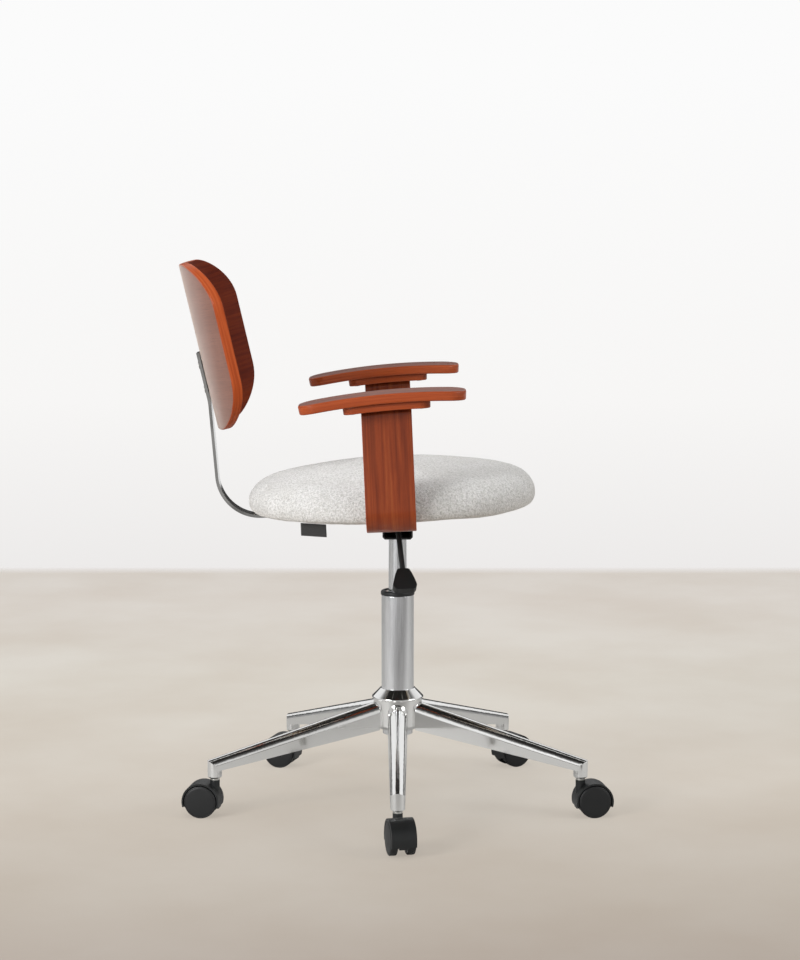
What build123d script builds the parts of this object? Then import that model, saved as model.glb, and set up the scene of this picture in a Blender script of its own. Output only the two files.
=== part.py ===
from build123d import *
import os
from math import asin, cos, degrees, radians, sin, sqrt, tan

os.makedirs("parts", exist_ok=True)

# Swivel desk chair, millimetres. The origin is on the floor under the column, +Z is up, the sitter
# faces -Y and the sitter's right hand is on the -X side.

# Fits between pieces
running_fit = 0.05
seat_gap = 0.05
slip_gap = 0.3

# Casters
caster_count = 5
caster_circle = 293.0
caster_headings = (192.0, 279.0, 300.0, 74.0, 81.0)
wheel_radius = 25.0
wheel_width = 11.5
wheel_bevel = 2.5
wheel_recess = 1.2
wheel_cover = 2.3
wheel_gap = 1.0
trail = 19.5
web_width = 14.0
web_clearance = 13.5
fender_gap = 1.2
fender_wall = 2.6
fender_below_axle = 7.8
fender_width = 37.0
boss_radius = 7.4
boss_top = 57.0
axle_radius = 3.0
stem_radius = 5.5
stem_collar_radius = 7.0
stem_collar_height = 2.6
stem_seat_depth = 15.0
stem_reach = 22.0
stem_tip_chamfer = 1.5

# Five-leg base
socket_radius = 11.0
socket_bottom = 61.0
socket_chamfer = 1.5
leg_wall = 2.0
weld_step = 0.2
leg_root_radius = 29.0
leg_root_top = 163.3
leg_root_bottom = 120.0
leg_root_width = 31.0
leg_end_top = 90.7
leg_end_bottom = 71.7
leg_cavity_end_gap = 3.0
hub_radius = 37.0
hub_bottom = 119.5
hub_edge = 5.0
collar_radius = 40.0
collar_bottom = 166.5
collar_rim = 2.5
collar_top_radius = 27.0
hub_top = 182.0

# Gas lift
column_radius = 25.0
column_bore = 20.5
column_top = 328.0
column_foot = 110.0
column_floor = 4.0
column_taper = 1.44
cap_radius = 26.0
cap_height = 7.0
cap_edge = 2.0
tube_radius = 14.0
tube_bore = 11.0
tube_end = 8.0
tube_head = 19.0
tube_taper = 1.44
tube_taper_lead = 10.0
lift_drop = 80.0
lift_rise = 20.0
stop_gap = 2.0
rod_radius = 5.0
rod_collar_radius = 9.0
rod_collar_height = 5.0
piston_height = 12.0
bearing_radius = 13.0
bearing_height = 6.0
clip_radius = 9.0
clip_height = 2.5
clip_gap = 0.5
rod_tail = 3.0

# Seat plate and release mechanism
seat_height = 466.0
seat_tilt = 2.5
plate_width = 200.0
plate_depth = 190.0
plate_thickness = 3.0
plate_corner = 22.0
plate_lip = 8.0
channel_width = 46.0
channel_length = 130.0
channel_wall = 2.5
channel_depth = 40.0
channel_corner = 3.5
socket_tube_radius = 18.0
socket_tube_height = 23.0
tube_below_socket_top = 2.0
pin_radius = 4.0
pin_stand = 8.0
pin_stroke = 5.0
pin_tail = 5.0
lever_radius = 4.0
lever_inner_reach = 8.0
lever_pivot_reach = 40.0
lever_slope = 6.5
lever_knee_reach = 92.0
lever_end_reach = 157.0
lever_end_side = 9.0
lever_end_height = 378.7
lever_knee_radius = 30.0
pivot_radius = 2.0
pivot_head = 1.5
paddle_length = 37.0
paddle_root_width = 17.0
paddle_end_width = 38.5
paddle_side_bulge = 1.6
paddle_thickness = 12.0
paddle_root_corner = 4.0
paddle_corner = 8.0
paddle_socket_depth = 14.0

# Seat
seat_centre = 8.0
board_inset = 31.0
board_thickness = 12.0
cover_thickness = 1.0
cover_margin = 4.0
cushion_radius = 221.0
cushion_rim_inset = 18.0
cushion_bulge_height = 18.0
shoulder_inset = 26.0
shoulder_height = 50.0
crown_height = 72.0
tag_width = 48.0
tag_drop = 19.0
tag_thickness = 1.4
tag_bearing = 143.5

# Arms
strap_width = 73.0
strap_thickness = 10.5
strap_clearance = 7.0
strap_bend = 24.0
strap_foot_reach = 112.0
strap_centre = 9.0
arm_height = 198.0
arm_pitch = 2.6
pad_bend_radius = 1014.0
pad_thickness = 14.0
pad_width = 76.0
pad_rear = 128.0
pad_front = 116.5
pad_corner = 27.0
pad_edge = 3.0
block_thickness = 11.0
block_width = 58.0
block_length = 129.0
block_corner = 16.0

# Back
bar_width = 32.0
bar_thickness = 4.5
bar_bend = 66.0
bar_corner_reach = 43.0
bar_knee_bend = 80.0
bar_knee_rise = 40.0
bar_lap = 118.0
bar_inner_end = 32.0
back_washer = 1.2
back_tilt = 10.6
back_reach = 40.0
back_rise = 134.7
back_height = 255.0
back_width = 326.0
back_radius = 297.5
back_thickness = 12.5
back_shoulder_width = 101.0
back_shoulder_height = 73.0
back_hip_width = 91.0
back_hip_height = 73.0

# Fasteners
bolt_radius = 3.0
bolt_head_radius = 6.0
bolt_head_height = 4.0
bolt_bite = 9.0
screw_radius = 2.0
screw_head_radius = 4.2
screw_head_height = 2.2
screw_bite = 9.0
screw_inset = 14.0
dowel_radius = 3.0
dowel_half = 8.0
dowel_spread = 20.0
plate_bolt_inset = 16.0
strap_bolt_inset = 22.0
strap_bolt_spread = 20.0
bar_bolt_first = 52.0
bar_bolt_pitch = 24.0
back_bolt_first = 60.0
back_bolt_pitch = 38.0
back_bolt_head_height = 1.8


def write(piece, name):
    piece.label = name
    export_step(piece, f"parts/{name}.step")


# Seat frame: tilted about the X axis, front edge higher, zero on the underside of the seat
tilt_sin = sin(radians(seat_tilt))
tilt_cos = cos(radians(seat_tilt))
seat_plane = Plane(origin=(0, 0, seat_height), x_dir=(1, 0, 0), z_dir=(0, tilt_sin, tilt_cos))


def on_seat(x, y, z):
    return seat_plane.from_local_coords(Vector(x, y, z))


def side_plane(x):
    # local x runs to the rear of the seat, local y up from it
    return Plane(origin=on_seat(x, 0, 0), x_dir=seat_plane.y_dir, z_dir=(1, 0, 0))


def cross_plane(y, side):
    # local x runs outwards on the given side, local y up from the seat
    outward = Vector(side, 0, 0)
    return Plane(origin=on_seat(0, y, 0), x_dir=outward, z_dir=outward.cross(seat_plane.z_dir))


# Base hub: turned body under a conical collar, bored on the taper of the column
taper_slope = tan(radians(column_taper))


def column_outside(z):
    return column_radius - max(0, hub_top - z) * taper_slope


with BuildPart() as base_hub:
    with BuildSketch(Plane.XZ):
        with BuildLine():
            Polyline(
                (column_outside(hub_bottom) + seat_gap, hub_bottom),
                (hub_radius - hub_edge, hub_bottom),
                (hub_radius, hub_bottom + hub_edge),
                (hub_radius, collar_bottom),
                (collar_radius, collar_bottom),
                (collar_radius, collar_bottom + collar_rim),
                (collar_top_radius, hub_top),
                (column_radius + seat_gap, hub_top),
                close=True,
            )
        make_face()
    revolve(axis=Axis.Z)
write(base_hub.part, "base_hub")


# Legs: tapered inverted channels with an upright socket, coped to the hub
leg_run = caster_circle - leg_root_radius
leg_tip_radius = caster_circle + socket_radius
socket_outside = socket_radius - weld_step


def along_leg(at_root, at_end, radius):
    return at_root + (at_end - at_root) * (radius - leg_root_radius) / leg_run


def leg_frame(index):
    angle = radians(180 + index * 360 / caster_count)
    return Plane(origin=(0, 0, 0), x_dir=(cos(angle), sin(angle), 0), z_dir=(0, 0, 1))


def make_leg(index):
    frame = leg_frame(index)
    cavity_end = caster_circle - socket_radius - leg_cavity_end_gap
    spans = ((0, leg_tip_radius, Mode.ADD), (leg_wall, cavity_end, Mode.SUBTRACT))
    with BuildPart() as leg:
        for inset, end, mode in spans:
            for radius in (0, end):
                half = along_leg(leg_root_width / 2, socket_radius, radius) - inset
                top = along_leg(leg_root_top, leg_end_top, radius) - inset
                bottom = along_leg(leg_root_bottom, leg_end_bottom, radius) - inset
                section = Plane(frame.from_local_coords(Vector(radius, 0, 0)), frame.y_dir, frame.x_dir)
                with BuildSketch(section):
                    with BuildLine():
                        Polyline((-half, top - half), (-half, bottom), (half, bottom), (half, top - half))
                        ThreePointArc((half, top - half), (0, top), (-half, top - half))
                    make_face()
            loft(ruled=True, mode=mode)
            if mode == Mode.ADD:
                with BuildSketch(frame):
                    with Locations((caster_circle / 2, 0)):
                        Rectangle(caster_circle, 2 * leg_root_width)
                    with Locations((caster_circle, 0)):
                        Circle(socket_radius)
                extrude(amount=2 * leg_root_top, mode=Mode.INTERSECT)
        with BuildSketch(Plane(frame.origin, frame.x_dir, -frame.y_dir)):
            with BuildLine():
                Polyline(
                    (caster_circle, socket_bottom),
                    (caster_circle + socket_outside - socket_chamfer, socket_bottom),
                    (caster_circle + socket_outside, socket_bottom + socket_chamfer),
                    (caster_circle + socket_outside, leg_end_bottom + leg_wall),
                    (caster_circle, leg_end_bottom + leg_wall),
                    close=True,
                )
            make_face()
        revolve(axis=Axis(frame.from_local_coords(Vector(caster_circle, 0, 0)), (0, 0, 1)))
        with BuildSketch(frame.offset(socket_bottom)):
            with Locations((caster_circle, 0)):
                Circle(stem_radius + running_fit)
        extrude(amount=stem_reach + stop_gap, mode=Mode.SUBTRACT)
        with BuildSketch(frame):
            Circle(hub_radius + seat_gap)
        extrude(amount=leg_root_top * 2, mode=Mode.SUBTRACT)
    return leg.part


for leg_index in range(caster_count):
    write(make_leg(leg_index), f"base_leg_{leg_index + 1}")


# Casters: local x runs from the stem to the axle, local y along the axle
hood_inner = wheel_radius + fender_gap
hood_outer = hood_inner + fender_wall
fender_angle = degrees(asin(fender_below_axle / hood_inner))
wheel_inner_face = web_width / 2 + wheel_gap
axle_half = wheel_inner_face + wheel_width - wheel_cover - slip_gap


def caster_frame(index):
    stem_at = leg_frame(index).from_local_coords(Vector(caster_circle, 0, 0))
    angle = radians(caster_headings[index])
    return Plane(origin=stem_at, x_dir=(cos(angle), sin(angle), 0), z_dir=(0, 0, 1))


def axle_frame(frame):
    # local x runs away from the stem, local y up, origin at the middle of the axle
    middle = frame.from_local_coords(Vector(trail, 0, wheel_radius))
    return Plane(origin=middle, x_dir=frame.x_dir, z_dir=-frame.y_dir)


def make_hood(frame):
    axle_plane = axle_frame(frame)
    sweep_angle = 180 + 2 * fender_angle
    with BuildPart() as hood:
        with BuildSketch(axle_plane):
            with BuildLine():
                outer = CenterArc((0, 0), hood_outer, -fender_angle, sweep_angle)
                inner = CenterArc((0, 0), hood_inner, -fender_angle, sweep_angle)
                Line(outer @ 0, inner @ 0)
                Line(outer @ 1, inner @ 1)
            make_face()
        extrude(amount=fender_width / 2, both=True)
        with BuildSketch(axle_plane):
            Circle(hood_outer)
            with Locations((0, web_clearance - wheel_radius - hood_outer)):
                Rectangle(2 * hood_outer, 2 * hood_outer, mode=Mode.SUBTRACT)
        extrude(amount=web_width / 2, both=True)
        with BuildSketch(frame.offset(wheel_radius)):
            Circle(boss_radius)
        extrude(amount=boss_top - wheel_radius)
        with BuildSketch(axle_plane):
            Circle(axle_radius + seat_gap)
        extrude(amount=fender_width, both=True, mode=Mode.SUBTRACT)
        with BuildSketch(frame.offset(boss_top)):
            Circle(stem_radius + seat_gap)
        extrude(amount=-stem_seat_depth, mode=Mode.SUBTRACT)
    return hood.part


def make_stem(frame):
    section = Plane(origin=frame.origin, x_dir=frame.x_dir, z_dir=-frame.y_dir)
    foot = boss_top - stem_seat_depth + seat_gap
    tip = socket_bottom + stem_reach
    with BuildPart() as stem:
        with BuildSketch(section):
            with BuildLine():
                Polyline(
                    (0, foot),
                    (stem_radius, foot),
                    (stem_radius, boss_top),
                    (stem_collar_radius, boss_top),
                    (stem_collar_radius, boss_top + stem_collar_height),
                    (stem_radius, boss_top + stem_collar_height),
                    (stem_radius, tip - stem_tip_chamfer),
                    (stem_radius - stem_tip_chamfer, tip),
                    (0, tip),
                    close=True,
                )
            make_face()
        revolve(axis=Axis(frame.origin, (0, 0, 1)))
    return stem.part


def make_axle(frame):
    with BuildPart() as axle:
        with BuildSketch(axle_frame(frame)):
            Circle(axle_radius)
        extrude(amount=axle_half, both=True)
    return axle.part


def make_wheel(frame, side):
    # side +1 is the wheel on the local +y side of the caster
    middle = axle_frame(frame)
    outward = frame.y_dir * side
    section = Plane(origin=middle.origin, x_dir=frame.x_dir, z_dir=frame.x_dir.cross(outward))
    outer_face = wheel_inner_face + wheel_width
    with BuildPart() as wheel:
        with BuildSketch(section):
            with BuildLine():
                Polyline(
                    (0, outer_face - wheel_cover),
                    (axle_radius + running_fit, outer_face - wheel_cover),
                    (axle_radius + running_fit, wheel_inner_face),
                    (wheel_radius, wheel_inner_face),
                    (wheel_radius, outer_face - wheel_recess),
                    (wheel_radius - wheel_bevel, outer_face),
                    (0, outer_face),
                    close=True,
                )
            make_face()
        revolve(axis=Axis(middle.origin, outward))
    return wheel.part


for caster_index in range(caster_count):
    caster_place = caster_frame(caster_index)
    number = caster_index + 1
    write(make_hood(caster_place), f"caster_hood_{number}")
    write(make_stem(caster_place), f"caster_stem_{number}")
    write(make_axle(caster_place), f"caster_axle_{number}")
    write(make_wheel(caster_place, 1), f"caster_wheel_{number}_left")
    write(make_wheel(caster_place, -1), f"caster_wheel_{number}_right")


# Gas lift column: tapered foot in the hub, floor with a hole for the rod
column_floor_top = column_foot + column_floor

with BuildPart() as column_tube:
    with BuildSketch(Plane.XZ):
        with BuildLine():
            Polyline(
                (rod_radius + slip_gap, column_foot),
                (column_outside(column_foot), column_foot),
                (column_radius, hub_top),
                (column_radius, column_top),
                (column_bore, column_top),
                (column_bore, column_floor_top),
                (rod_radius + slip_gap, column_floor_top),
                close=True,
            )
        make_face()
    revolve(axis=Axis.Z)
write(column_tube.part, "column_tube")

# The cap is a ring on the column end, round the head of the guide bush
cap_shoulder = column_top + cap_height - cap_edge
with BuildPart() as column_cap:
    with BuildSketch(Plane.XZ):
        with BuildLine():
            Polyline(
                (column_bore, column_top),
                (cap_radius, column_top),
                (cap_radius, cap_shoulder),
                (cap_radius - cap_edge, column_top + cap_height),
                (column_bore, column_top + cap_height),
                close=True,
            )
        make_face()
    revolve(axis=Axis.Z)
write(column_cap.part, "column_cap")

with BuildPart() as thrust_bearing:
    with BuildSketch(Plane.XY.offset(column_floor_top)):
        Circle(bearing_radius)
        Circle(rod_radius + slip_gap, mode=Mode.SUBTRACT)
    extrude(amount=bearing_height)
write(thrust_bearing.part, "thrust_bearing")

# Piston rod: collar on the bearing, clip under the column floor, piston in the pressure tube
collar_foot = column_floor_top + bearing_height + running_fit
rod_foot = column_foot - clip_gap - clip_height - rod_tail
clip_top = column_foot - clip_gap
tube_foot = collar_foot + rod_collar_height + lift_drop + stop_gap
piston_foot = tube_foot + tube_end + lift_rise + stop_gap

with BuildPart() as piston_rod:
    with BuildSketch(Plane.XZ):
        with BuildLine():
            Polyline(
                (0, rod_foot),
                (rod_radius, rod_foot),
                (rod_radius, collar_foot),
                (rod_collar_radius, collar_foot),
                (rod_collar_radius, collar_foot + rod_collar_height),
                (rod_radius, collar_foot + rod_collar_height),
                (rod_radius, piston_foot),
                (tube_bore - running_fit, piston_foot),
                (tube_bore - running_fit, piston_foot + piston_height),
                (0, piston_foot + piston_height),
                close=True,
            )
        make_face()
    revolve(axis=Axis.Z)
write(piston_rod.part, "piston_rod")

# Guide bush: lines the cap and the column down to the level of the piston
with BuildPart() as guide_bush:
    with BuildSketch(Plane.XY.offset(piston_foot)):
        Circle(column_bore - seat_gap)
        Circle(tube_radius + running_fit, mode=Mode.SUBTRACT)
    extrude(amount=cap_shoulder - piston_foot)
write(guide_bush.part, "guide_bush")

with BuildPart() as rod_clip:
    with BuildSketch(Plane.XY.offset(clip_top)):
        Circle(clip_radius)
        Circle(rod_radius + seat_gap, mode=Mode.SUBTRACT)
    extrude(amount=-clip_height)
write(rod_clip.part, "rod_clip")

# Pressure tube: tapered head in the socket of the mechanism
channel_floor = seat_height - plate_thickness - channel_depth
tube_top = channel_floor + socket_tube_height - tube_below_socket_top
tube_taper_foot = channel_floor - tube_taper_lead
tube_taper_slope = tan(radians(tube_taper))


def tube_outside(z):
    return tube_radius - max(0, z - tube_taper_foot) * tube_taper_slope


with BuildPart() as pressure_tube:
    with BuildSketch(Plane.XZ):
        with BuildLine():
            Polyline(
                (rod_radius + running_fit, tube_foot),
                (tube_radius, tube_foot),
                (tube_radius, tube_taper_foot),
                (tube_outside(tube_top), tube_top),
                (pin_radius + running_fit, tube_top),
                (pin_radius + running_fit, tube_top - tube_head),
                (tube_bore, tube_top - tube_head),
                (tube_bore, tube_foot + tube_end),
                (rod_radius + running_fit, tube_foot + tube_end),
                close=True,
            )
        make_face()
    revolve(axis=Axis.Z)
write(pressure_tube.part, "pressure_tube")

pin_foot = tube_top - tube_head + pin_stroke + pin_tail
pin_top = tube_top + pin_stand

with BuildPart() as release_pin:
    with BuildSketch(Plane.XY.offset(pin_foot)):
        Circle(pin_radius)
    extrude(amount=pin_top - pin_foot)
write(release_pin.part, "release_pin")

socket_tube_top = channel_floor + socket_tube_height
with BuildPart() as taper_socket:
    with BuildSketch(Plane.XZ):
        with BuildLine():
            Polyline(
                (tube_outside(channel_floor) + seat_gap, channel_floor),
                (socket_tube_radius, channel_floor),
                (socket_tube_radius, socket_tube_top),
                (tube_outside(socket_tube_top) + seat_gap, socket_tube_top),
                close=True,
            )
        make_face()
    revolve(axis=Axis.Z)
write(taper_socket.part, "taper_socket")

# Pressed channel under the seat plate, open at both ends, with the lever pivot through its walls
plate_under = seat_plane.offset(-plate_thickness)
lever_fall = tan(radians(lever_slope))
lever_over_pin = lever_radius / cos(radians(lever_slope)) + pin_radius * lever_fall + slip_gap
lever_pivot_height = pin_top + lever_over_pin - lever_pivot_reach * lever_fall
pivot_at = (-lever_pivot_reach, 0, lever_pivot_height)
pivot_axis_plane = Plane(origin=pivot_at, x_dir=(1, 0, 0), z_dir=(0, -1, 0))

with BuildPart() as mechanism_channel:
    with BuildSketch(Plane.YZ):
        for inset, mode in ((0, Mode.ADD), (channel_wall, Mode.SUBTRACT)):
            half = channel_width / 2 - inset
            floor = channel_floor + inset
            roof = seat_height + channel_depth
            cut = channel_corner - inset / 2
            with BuildLine():
                Polyline(
                    (-half, roof),
                    (-half, floor + cut),
                    (-half + cut, floor),
                    (half - cut, floor),
                    (half, floor + cut),
                    (half, roof),
                    close=True,
                )
            make_face(mode=mode)
    extrude(amount=channel_length / 2, both=True)
    split(bisect_by=plate_under, keep=Keep.BOTTOM)
    with BuildSketch(Plane.XY):
        Circle(socket_tube_radius + seat_gap)
    extrude(amount=channel_floor + channel_corner + stop_gap, mode=Mode.SUBTRACT)
    with BuildSketch(pivot_axis_plane):
        Circle(pivot_radius + seat_gap)
    extrude(amount=channel_width, both=True, mode=Mode.SUBTRACT)
write(mechanism_channel.part, "mechanism_channel")

with BuildPart() as lever_pivot:
    with BuildSketch(pivot_axis_plane):
        Circle(pivot_radius)
    extrude(amount=channel_width / 2 + pivot_head, both=True)
write(lever_pivot.part, "lever_pivot")

# Release lever: bent rod over the release pin, flat paddle on its outer end
lever_inner = Vector(
    lever_inner_reach, 0, lever_pivot_height + (lever_pivot_reach + lever_inner_reach) * lever_fall
)
lever_knee = Vector(
    -lever_knee_reach, 0, lever_pivot_height - (lever_knee_reach - lever_pivot_reach) * lever_fall
)
lever_end = Vector(-lever_end_reach, -lever_end_side, lever_end_height)
lever_out = (lever_end - lever_knee).normalized()

with BuildPart() as lever_rod:
    with BuildLine():
        lever_path = FilletPolyline(lever_inner, lever_knee, lever_end, radius=lever_knee_radius)
    with BuildSketch(Plane(origin=lever_path @ 0, z_dir=lever_path % 0)):
        Circle(lever_radius)
    sweep()
    with BuildSketch(pivot_axis_plane):
        Circle(pivot_radius + running_fit)
    extrude(amount=channel_width, both=True, mode=Mode.SUBTRACT)
write(lever_rod.part, "lever_rod")

# The paddle is a plate in line with the rod that widens downwards, with the rod end let into it
paddle_root = lever_end - lever_out * paddle_socket_depth
paddle_across = lever_out.cross(Vector(0, 0, 1)).normalized()
paddle_face = Plane(origin=paddle_root, x_dir=paddle_across, z_dir=paddle_across.cross(lever_out))
paddle_middle = (paddle_root_width + paddle_end_width) / 4 + paddle_side_bulge

with BuildPart() as lever_paddle:
    with BuildSketch(paddle_face):
        with BuildLine():
            for side in (-1, 1):
                ThreePointArc(
                    (side * paddle_root_width / 2, 0),
                    (side * paddle_middle, paddle_length / 2),
                    (side * paddle_end_width / 2, paddle_length),
                )
            Line((-paddle_root_width / 2, 0), (paddle_root_width / 2, 0))
            Line((-paddle_end_width / 2, paddle_length), (paddle_end_width / 2, paddle_length))
        make_face()
    extrude(amount=paddle_thickness / 2, both=True)
    paddle_corners = lever_paddle.edges().filter_by(Axis(paddle_root, paddle_face.z_dir))
    root_corners = paddle_corners.sort_by(Axis(paddle_root, lever_out))[:2]
    end_corners = paddle_corners.sort_by(Axis(paddle_root, lever_out))[-2:]
    fillet(root_corners, paddle_root_corner)
    fillet(end_corners, paddle_corner)
    with BuildSketch(Plane(origin=lever_end, z_dir=lever_out)):
        Circle(lever_radius + seat_gap)
    extrude(amount=-2 * paddle_socket_depth, mode=Mode.SUBTRACT)
write(lever_paddle.part, "lever_paddle")

# Places of the bolts, in the seat frame
plate_bolts = [
    (x * (plate_width / 2 - plate_bolt_inset), y * (plate_depth / 2 - plate_bolt_inset))
    for x in (-1, 1)
    for y in (-1, 1)
]
bar_bolts = [(0, bar_bolt_first), (0, bar_bolt_first + bar_bolt_pitch)]
strap_bolts = [
    (x * (strap_foot_reach + strap_bolt_inset), strap_centre + y * strap_bolt_spread)
    for x in (-1, 1)
    for y in (-1, 1)
]
seat_bolt_places = plate_bolts + bar_bolts + strap_bolts
bolt_hole = bolt_radius + seat_gap

# Seat plate with two folded lips along its sides
with BuildPart() as seat_plate:
    with BuildSketch(seat_plane):
        RectangleRounded(plate_width, plate_depth, plate_corner)
    extrude(amount=-plate_thickness)
    with BuildSketch(seat_plane.offset(-plate_thickness)):
        for side in (-1, 1):
            with Locations((0, side * (plate_depth - plate_thickness) / 2)):
                Rectangle(plate_width - 2 * plate_corner, plate_thickness)
        with Locations((0, (plate_depth - plate_thickness) / 2)):
            Rectangle(bar_width + 2 * plate_thickness, plate_thickness, mode=Mode.SUBTRACT)
    extrude(amount=-plate_lip)
    with BuildSketch(seat_plane):
        with Locations(*(plate_bolts + bar_bolts)):
            Circle(bolt_hole)
    extrude(amount=-plate_thickness, mode=Mode.SUBTRACT)
write(seat_plate.part, "seat_plate")

# Seat board and the cloth under it
board_radius = cushion_radius - board_inset
with BuildPart() as seat_board:
    with BuildSketch(seat_plane.offset(cover_thickness)):
        with Locations((0, seat_centre)):
            Circle(board_radius)
        with Locations(*seat_bolt_places):
            Circle(bolt_hole, mode=Mode.SUBTRACT)
    extrude(amount=board_thickness)
write(seat_board.part, "seat_board")

with BuildPart() as seat_dust_cover:
    with BuildSketch(seat_plane):
        with Locations((0, seat_centre)):
            Circle(board_radius - cover_margin)
        with Locations(*seat_bolt_places):
            Circle(bolt_hole, mode=Mode.SUBTRACT)
    extrude(amount=cover_thickness)
write(seat_dust_cover.part, "seat_dust_cover")

# Cushion: domed round pad whose edge wraps round the board
cushion_axis = Axis(on_seat(0, seat_centre, 0), seat_plane.z_dir)
cushion_section = cross_plane(seat_centre, 1)
cushion_rim_radius = cushion_radius - cushion_rim_inset
shoulder_radius = cushion_radius - shoulder_inset
pocket_radius = board_radius + slip_gap
pocket_height = cover_thickness + board_thickness + seat_gap
crown_rise = crown_height - shoulder_height
crown_radius = (shoulder_radius**2 + crown_rise**2) / (2 * crown_rise)

with BuildPart() as seat_cushion:
    with BuildSketch(cushion_section):
        with BuildLine():
            TangentArc((cushion_radius, cushion_bulge_height), (cushion_rim_radius, 0), tangent=(0, -1))
            TangentArc(
                (cushion_radius, cushion_bulge_height), (shoulder_radius, shoulder_height), tangent=(0, 1)
            )
            RadiusArc((0, crown_height), (shoulder_radius, shoulder_height), crown_radius)
            Polyline(
                (0, crown_height),
                (0, pocket_height),
                (pocket_radius, pocket_height),
                (pocket_radius, 0),
                (cushion_rim_radius, 0),
            )
        make_face()
    revolve(axis=cushion_axis)
write(seat_cushion.part, "seat_cushion")

# Woven tab sewn under the edge of the cushion
tag_angle = radians(tag_bearing)
tag_radius = (cushion_rim_radius + pocket_radius) / 2
tag_radial = seat_plane.x_dir * cos(tag_angle) + seat_plane.y_dir * sin(tag_angle)
tag_origin = on_seat(tag_radius * cos(tag_angle), seat_centre + tag_radius * sin(tag_angle), -seat_gap)

with BuildPart() as seat_tag:
    with BuildSketch(Plane(origin=tag_origin, x_dir=tag_radial, z_dir=seat_plane.z_dir)):
        Rectangle(tag_thickness, tag_width)
    extrude(amount=-tag_drop)
write(seat_tag.part, "seat_tag")

# Arms: strap bent under the seat, curved block on its top, curved pad on the block
strap_outside = cushion_radius + strap_clearance + strap_thickness
arm_middle = strap_outside - strap_thickness / 2
arm_tangent = radians(arm_pitch)
bend_centre_back = strap_centre - pad_bend_radius * sin(arm_tangent)
bend_centre_up = arm_height - pad_bend_radius * cos(arm_tangent)
pad_under_radius = pad_bend_radius - pad_thickness
block_top_radius = pad_under_radius - seat_gap
block_under_radius = block_top_radius - block_thickness
strap_top_radius = block_under_radius - seat_gap
block_under_height = arm_height - pad_thickness - block_thickness
arm_screw_places = [side * (block_length / 2 - screw_inset) for side in (-1, 1)]
dowel_places = [side * dowel_spread for side in (-1, 1)]


def arm_plane(side):
    return side_plane(side * arm_middle)


def arm_upright(side, along):
    # plane square to the bent pad at the strap, moved along the pad
    lean = Vector(seat_plane.z_dir).rotate(Axis.X, -arm_pitch)
    run = Vector(seat_plane.y_dir).rotate(Axis.X, -arm_pitch)
    foot = on_seat(side * arm_middle, strap_centre, arm_height)
    return Plane(origin=foot + run * along, x_dir=(1, 0, 0), z_dir=lean)


def bent_slab(side, outer_radius, inner_radius, front, rear, width, corner):
    middle = (rear - front) / 2
    length = front + rear
    with BuildPart() as slab:
        with BuildSketch(arm_plane(side)):
            with Locations((bend_centre_back, bend_centre_up)):
                Circle(outer_radius)
                Circle(inner_radius, mode=Mode.SUBTRACT)
            with Locations((strap_centre + middle, arm_height)):
                Rectangle(2 * length, length, mode=Mode.INTERSECT)
        extrude(amount=width / 2, both=True)
        with BuildSketch(arm_upright(side, middle)):
            RectangleRounded(width, length, corner)
        extrude(amount=length, both=True, mode=Mode.INTERSECT)
    return slab.part


def make_strap(side):
    strap_inside = strap_outside - strap_thickness
    bend_at = strap_inside - strap_bend
    with BuildPart() as strap:
        with BuildSketch(cross_plane(strap_centre, side)):
            with BuildLine():
                outer = CenterArc((bend_at, strap_bend), strap_bend + strap_thickness, -90, 90)
                inner = CenterArc((bend_at, strap_bend), strap_bend, -90, 90)
                Polyline(outer @ 1, (strap_outside, arm_height), (strap_inside, arm_height), inner @ 1)
                Polyline(outer @ 0, (strap_foot_reach, -strap_thickness), (strap_foot_reach, 0), inner @ 0)
            make_face()
        extrude(amount=strap_width / 2, both=True)
        with BuildSketch(arm_plane(side)):
            with Locations((bend_centre_back, bend_centre_up)):
                Circle(strap_top_radius)
        extrude(amount=2 * strap_outside, both=True, mode=Mode.INTERSECT)
        with BuildSketch(seat_plane):
            with Locations(*[(x, y) for x, y in strap_bolts if x * side > 0]):
                Circle(bolt_hole)
        extrude(amount=-strap_thickness, mode=Mode.SUBTRACT)
        for along in dowel_places:
            with BuildSketch(arm_upright(side, along)):
                Circle(dowel_radius + seat_gap)
            extrude(amount=-pad_thickness - block_thickness - dowel_half - seat_gap, mode=Mode.SUBTRACT)
    return strap.part


def make_block(side):
    half = block_length / 2
    slab = bent_slab(side, block_top_radius, block_under_radius, half, half, block_width, block_corner)
    with BuildPart() as block:
        add(slab)
        for along in arm_screw_places:
            with BuildSketch(arm_upright(side, along)):
                Circle(screw_radius + seat_gap)
            extrude(amount=-2 * block_width, mode=Mode.SUBTRACT)
        for along in dowel_places:
            with BuildSketch(arm_upright(side, along).offset(-pad_thickness - block_thickness + dowel_half)):
                Circle(dowel_radius + seat_gap)
            extrude(amount=-2 * block_width, mode=Mode.SUBTRACT)
    return block.part


def make_pad(side):
    slab = bent_slab(side, pad_bend_radius, pad_under_radius, pad_front, pad_rear, pad_width, pad_corner)
    with BuildPart() as pad:
        add(slab)
        bent_faces = pad.faces().filter_by(GeomType.CYLINDER).sort_by(SortBy.AREA)[-2:]
        chamfer(bent_faces.edges(), pad_edge / 2)
        for along in arm_screw_places:
            with BuildSketch(arm_upright(side, along).offset(-pad_thickness + screw_bite)):
                Circle(screw_radius + seat_gap)
            extrude(amount=-2 * pad_thickness, mode=Mode.SUBTRACT)
    return pad.part


for side, hand in ((-1, "right"), (1, "left")):
    write(make_strap(side), f"arm_strap_{hand}")
    write(make_block(side), f"arm_block_{hand}")
    write(make_pad(side), f"arm_pad_{hand}")

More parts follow.
